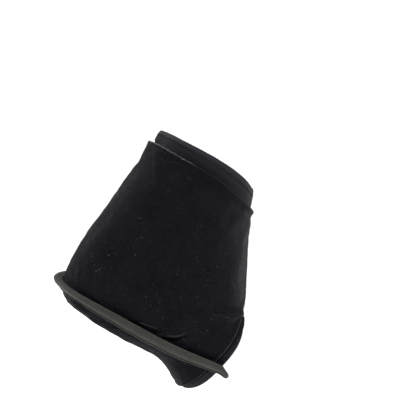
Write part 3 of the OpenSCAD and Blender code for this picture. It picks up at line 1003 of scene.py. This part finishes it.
def border(u, f, inset, lift):
    """A stitching path round a patch, inset by a share of its size."""
    k = int(len(u) * inset)
    m = int(u.shape[1] * inset)
    loop = [(i, m) for i in range(k, len(u) - k)]
    loop += [(len(u) - 1 - k, j) for j in range(m, u.shape[1] - m)]
    loop += [(i, u.shape[1] - 1 - m) for i in range(len(u) - 1 - k, k - 1, -1)]
    loop += [(k, j) for j in range(u.shape[1] - 1 - m, m - 1, -1)]
    i, j = np.array(loop).T
    return skin.at(u[i, j], f[i, j], lift), skin.normal(u[i, j], f[i, j])


def sole_patch():
    u, f = patch_marks(7.2, 8.7, 172, 188, 50, 40, 0.3)
    base = skin.at(u, f)
    lift = np.clip(base[..., 2] - 0.05, 0.3, 1.9)
    patch = rounded("heel_sole_patch", skin.at(u, f, lift), skin.normal(u, f), 1.2)
    dress(patch, "sole", "wrap", "sole_patch", "sole_pad")
    path, out = border(u, f, 0.16, 0.0)
    path = path + out * np.clip(path[:, 2:] - 0.25, 0.3, 1.8)
    dress(stitches("sole_stitching", [(path, out)]), None, "wrap", "thread")


def front_tape():
    u, f = patch_marks(2, 5, 350.4, 359.2, 120, 24, 0.1)
    lift = 0.3 - 0.5 * smooth((u - 4.3) / 0.7)
    tape = rounded("front_edge_tape", skin.at(u, f, lift), skin.normal(u, f), 0.6)
    dress(tape, "shell", "wrap", "binding", "front_binding")
    dress(stitches("front_tape_stitching", [border(u, f, 0.2, 0.32)]), None, "wrap", "thread")


def loop_field():
    u, f = patch_marks(2.5, 4.5, 20, 60, 150, 110)
    height = 0.75 + 0.16 * ripple(skin.at(u, f), 1.6, 81) + 0.10 * ripple(skin.at(u, f), 0.9, 82)
    field = rounded("loop_field", skin.at(u, f, height), skin.normal(u, f), 0.7)
    dress(field, "loop", "wrap", "loop_tape", "loop_patch")


FLAP_T = 1.5
FLAP_INSET = 12  # grid lines between the flap's edge and its stitching


def flap_lift(f):
    """Height of the flap's lower face: sunk into the front seam, and over the loop tape behind."""
    return -0.9 + 3.0 * smooth((f - 9) / 13) - 0.4 * smooth((f - 62) / 8)


def flap():
    u, f = patch_marks(2.02, 4.98, 8.5, 69.5, 130, 110)
    base, out = skin.at(u, f), skin.normal(u, f)
    edge = np.minimum(np.minimum(*lengths(base, 0)), np.minimum(*lengths(base, 1)))
    hem_step = 0.35 * (1 - smooth((edge - 7) / 1.2)) - 0.35 * bump(edge - 5.2, 0.7)
    wave = 0.25 * ripple(base, 28, 91) * smooth((f - 14) / 10)
    sunk = 0.7 * smooth((u - 4.4) / 0.6) * (1 - smooth((f - 11) / 5))  # no step shows at the instep
    top = base + out * (flap_lift(f) + FLAP_T + hem_step + wave - sunk)[..., None]
    piece = rounded("side_flap", top, out, FLAP_T)
    piece.data.materials.append(MATERIAL["shell"])
    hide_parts("closure_flap")
    start, end = skin.at(3.5, 9.0), skin.at(3.5, 21.0)
    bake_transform(piece)
    far_u, far_f = len(top) - FLAP_INSET, top.shape[1] - FLAP_INSET
    corners = [(FLAP_INSET, FLAP_INSET), (FLAP_INSET, far_f), (far_u, far_f), (far_u, FLAP_INSET)]
    paths = []
    for (i0, j0), (i1, j1) in zip(corners, corners[1:]):
        i = np.linspace(i0, i1, 120).round().astype(int)
        j = np.linspace(j0, j1, 120).round().astype(int)
        paths.append((top[i, j] + out[i, j] * 0.02, out[i, j]))
    thread = stitches("flap_stitching", paths)
    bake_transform(thread)


def hook_field():
    """Hook tape under the flap: a base strip with rows of small mushroom hooks that point at the leg."""
    u, f = patch_marks(3, 4, 30.5, 59.5, 30, 40)
    base = rounded("hook_base", skin.at(u, f, flap_lift(f) - 0.02), skin.normal(u, f), 0.45)
    dress(base, "hook", "closure_flap", "hook_tape", "hook_strip")
    verts, faces = [], []
    turn = np.arange(5) * 2 * math.pi / 5
    for row, pu in enumerate(np.linspace(3.05, 3.95, 18)):
        for pf in np.linspace(32, 58, 26) + 0.5 * (row % 2):
            foot = skin.at(pu, pf, flap_lift(pf) - 0.45)
            out = skin.normal(pu, pf)
            over = unit(np.cross(out, [0, 0, 1]))
            up = np.cross(out, over)
            first = len(verts)
            for drop, radius in ((0, 0.16), (0.35, 0.13), (0.42, 0.3), (0.55, 0.12)):
                ring = over * np.cos(turn)[:, None] * radius + up * np.sin(turn)[:, None] * radius
                verts.extend(foot - out * drop + ring)
            faces += [tuple(range(first, first + 5)), tuple(range(first + 15, first + 20))]
            for k in range(3):
                for j in range(5):
                    a, b = first + 5 * k + j, first + 5 * k + (j + 1) % 5
                    faces.append((a, b, b + 5, a + 5))
    dress(add_object("hook_rows", np.array(verts), faces), "hook", "closure_flap", "hook_tape")


sole_patch()
front_tape()
loop_field()
flap()
hook_field()

# ---- cold packs -------------------------------------------------------------

LEAN = math.radians(2.5)
POCKET_X, POCKET_BACK, POCKET_FRONT, POCKET_SIDE = -36.2, 47.8, 69, 49.3
CELL_T = 4.2
PACK_REAR, PACK_W, PACK_FOOT, PACK_HEAD = -77, 61, 68, 166
CELL_X, CELL_W, CELL_ROWS, WELD_W = (-71.5, -43.5), 22, 4, 3


def pocket(x, z, depth, side):
    """A point of the pocket at depth inside the shell, over a place on the pack's flat outline."""
    reach = np.where(x > POCKET_X, POCKET_FRONT, POCKET_BACK) - depth
    share = np.clip(np.abs(x - POCKET_X) / reach, 0, 0.995)
    y = (POCKET_SIDE - depth) * (1 - share**2.2) ** (1 / 2.2)
    turned = [x * math.cos(LEAN) - z * math.sin(LEAN), side * y, x * math.sin(LEAN) + z * math.cos(LEAN)]
    return np.stack(turned, axis=-1)


def pack_sheet(x0, x1, z0, z1, count, corner):
    s, t = np.meshgrid(edged(-1, 1, count), edged(-1, 1, count), indexing="ij")
    s, t = s * np.sqrt(1 - corner * t**6), t * np.sqrt(1 - corner * s**6)
    return s, t, (x0 + x1) / 2 + s * (x1 - x0) / 2, (z0 + z1) / 2 + t * (z1 - z0) / 2


def pack_cell(x0, z0, w, h, side):
    """A pillow of gel, full in the middle and puckered at its welds."""
    s, t, x, z = pack_sheet(x0, x0 + w, z0, z0 + h, 26, 0.25)
    dome = np.clip((1 - s**4) * (1 - t**4), 0, 1) ** 0.45
    angle = np.arctan2(t, s)
    dome = dome * (1 - 0.10 * (1 - dome) * (1 + np.cos(18 * angle)))
    return [pocket(x, z, CELL_T / 2 + way * (0.25 + (CELL_T / 2 - 0.3) * dome), side) for way in (-1, 1)]


def gel_packs():
    pitch = (PACK_HEAD - PACK_FOOT - 10) / CELL_ROWS
    for side, name in ((-1, "medial"), (1, "lateral")):
        body = f"pack_{name}"
        s, t, x, z = pack_sheet(PACK_REAR, PACK_REAR + PACK_W, PACK_FOOT, PACK_HEAD, 80, 0.12)
        rim = np.maximum(np.abs(s), np.abs(t))
        knurl = 0.10 * np.sin(x * 2.6) * np.sin(z * 2.6) * (rim > 0.9)
        web = layer(f"gel_pack_film_{name}", pocket(x, z, CELL_T / 2 - 0.35 - knurl, side),
                    pocket(x, z, CELL_T / 2 + 0.35 + knurl, side))
        dress(web, "film", body, "pack_film", f"pack_film_{name}")
        verts, faces = [], []
        for row in range(CELL_ROWS):
            for x0 in CELL_X:
                cell = pack_cell(x0, PACK_FOOT + 6.5 + row * pitch, CELL_W, pitch - WELD_W, side)
                first = sum(len(v) for v in verts)
                verts.append(np.concatenate([grid.reshape(-1, 3) for grid in cell]))
                faces += [tuple(first + k for k in face) for face in layer_faces(26, 26)]
        cells = add_object(f"gel_cells_{name}", np.concatenate(verts), faces)
        dress(cells, "gel", body, "gel", f"pack_cells_{name}")


gel_packs()

# ---- lint -------------------------------------------------------------------


def lint():
    """Short pale fibres that cling to the cloth, more of them behind than in front."""
    draw = np.random.default_rng(12)
    verts, faces = [], []
    turn = np.arange(4) * math.pi / 2
    for _ in range(420):
        u, f = draw.uniform(1.1, 10.7), draw.choice([180, 0]) + 180 * draw.beta(1.2, 2.2)
        start, out = skin.at(u, f, 0.1), skin.normal(u, f)
        over = unit(np.cross(out, draw.normal(size=3)))
        bend = np.cross(out, over) * draw.uniform(-0.5, 0.5)
        long, radius = draw.uniform(0.4, 1.3), draw.uniform(0.04, 0.08)
        first = len(verts)
        for t in (0, 0.5, 1):
            mid = start + over * long * t + bend * long * t * t + out * (0.12 * math.sin(3 * t))
            side = np.cross(out, over)
            verts.extend(mid + (side * np.cos(turn)[:, None] + out * np.sin(turn)[:, None]) * radius)
        faces += [tuple(range(first, first + 4)), tuple(range(first + 8, first + 12))]
        for k in (0, 4):
            for j in range(4):
                a, b = first + k + j, first + k + (j + 1) % 4
                faces.append((a, b, b + 4, a + 4))
    dress(add_object("lint_fibres", np.array(verts), faces), "lint", "wrap", "shell_cloth")


lint()

# ---- stage ------------------------------------------------------------------


WORLD = 1.06
FLOOR_Z = -400  # well below, so that the wrap has no contact shadow, as when it hangs on a display foot


def stage():
    size = 6000
    corners = [(-size, -size, FLOOR_Z), (size, -size, FLOOR_Z), (size, size, FLOOR_Z), (-size, size, FLOOR_Z)]
    floor = add_object("floor", corners, [(0, 1, 2, 3)])
    s = Shader("pale_floor", roughness=0.9, specular=0.1)
    tone = s.ramp(s.noise(s.place(), 3), (0.3, (0.93, 0.93, 0.93)), (0.7, (0.95, 0.95, 0.95)))
    floor.data.materials.append(s.finish(tone))
    world = bpy.data.worlds.new("studio")
    world.use_nodes = True
    world.node_tree.nodes["Background"].inputs["Color"].default_value = (1, 1, 1, 1)
    world.node_tree.nodes["Background"].inputs["Strength"].default_value = WORLD
    bpy.context.scene.world = world
    bpy.context.scene.view_settings.view_transform = "Standard"
    for name, start, end, side, power in (
        ("left", (-900, -150, 250), (0, 0, 90), 700, 66),
        ("right", (900, -250, 150), (0, 0, 90), 700, 42),
        ("top", (0, -250, 1000), (0, 0, 90), 700, 76),
        ("low", (250, -420, -330), (0, 0, 30), 400, 24),
    ):
        data = bpy.data.lights.new(name, "AREA")
        data.size = side * MM
        data.energy = power
        lamp = bpy.data.objects.new(name, data)
        bpy.context.scene.collection.objects.link(lamp)
        lamp.matrix_world = look(start, end)


stage()
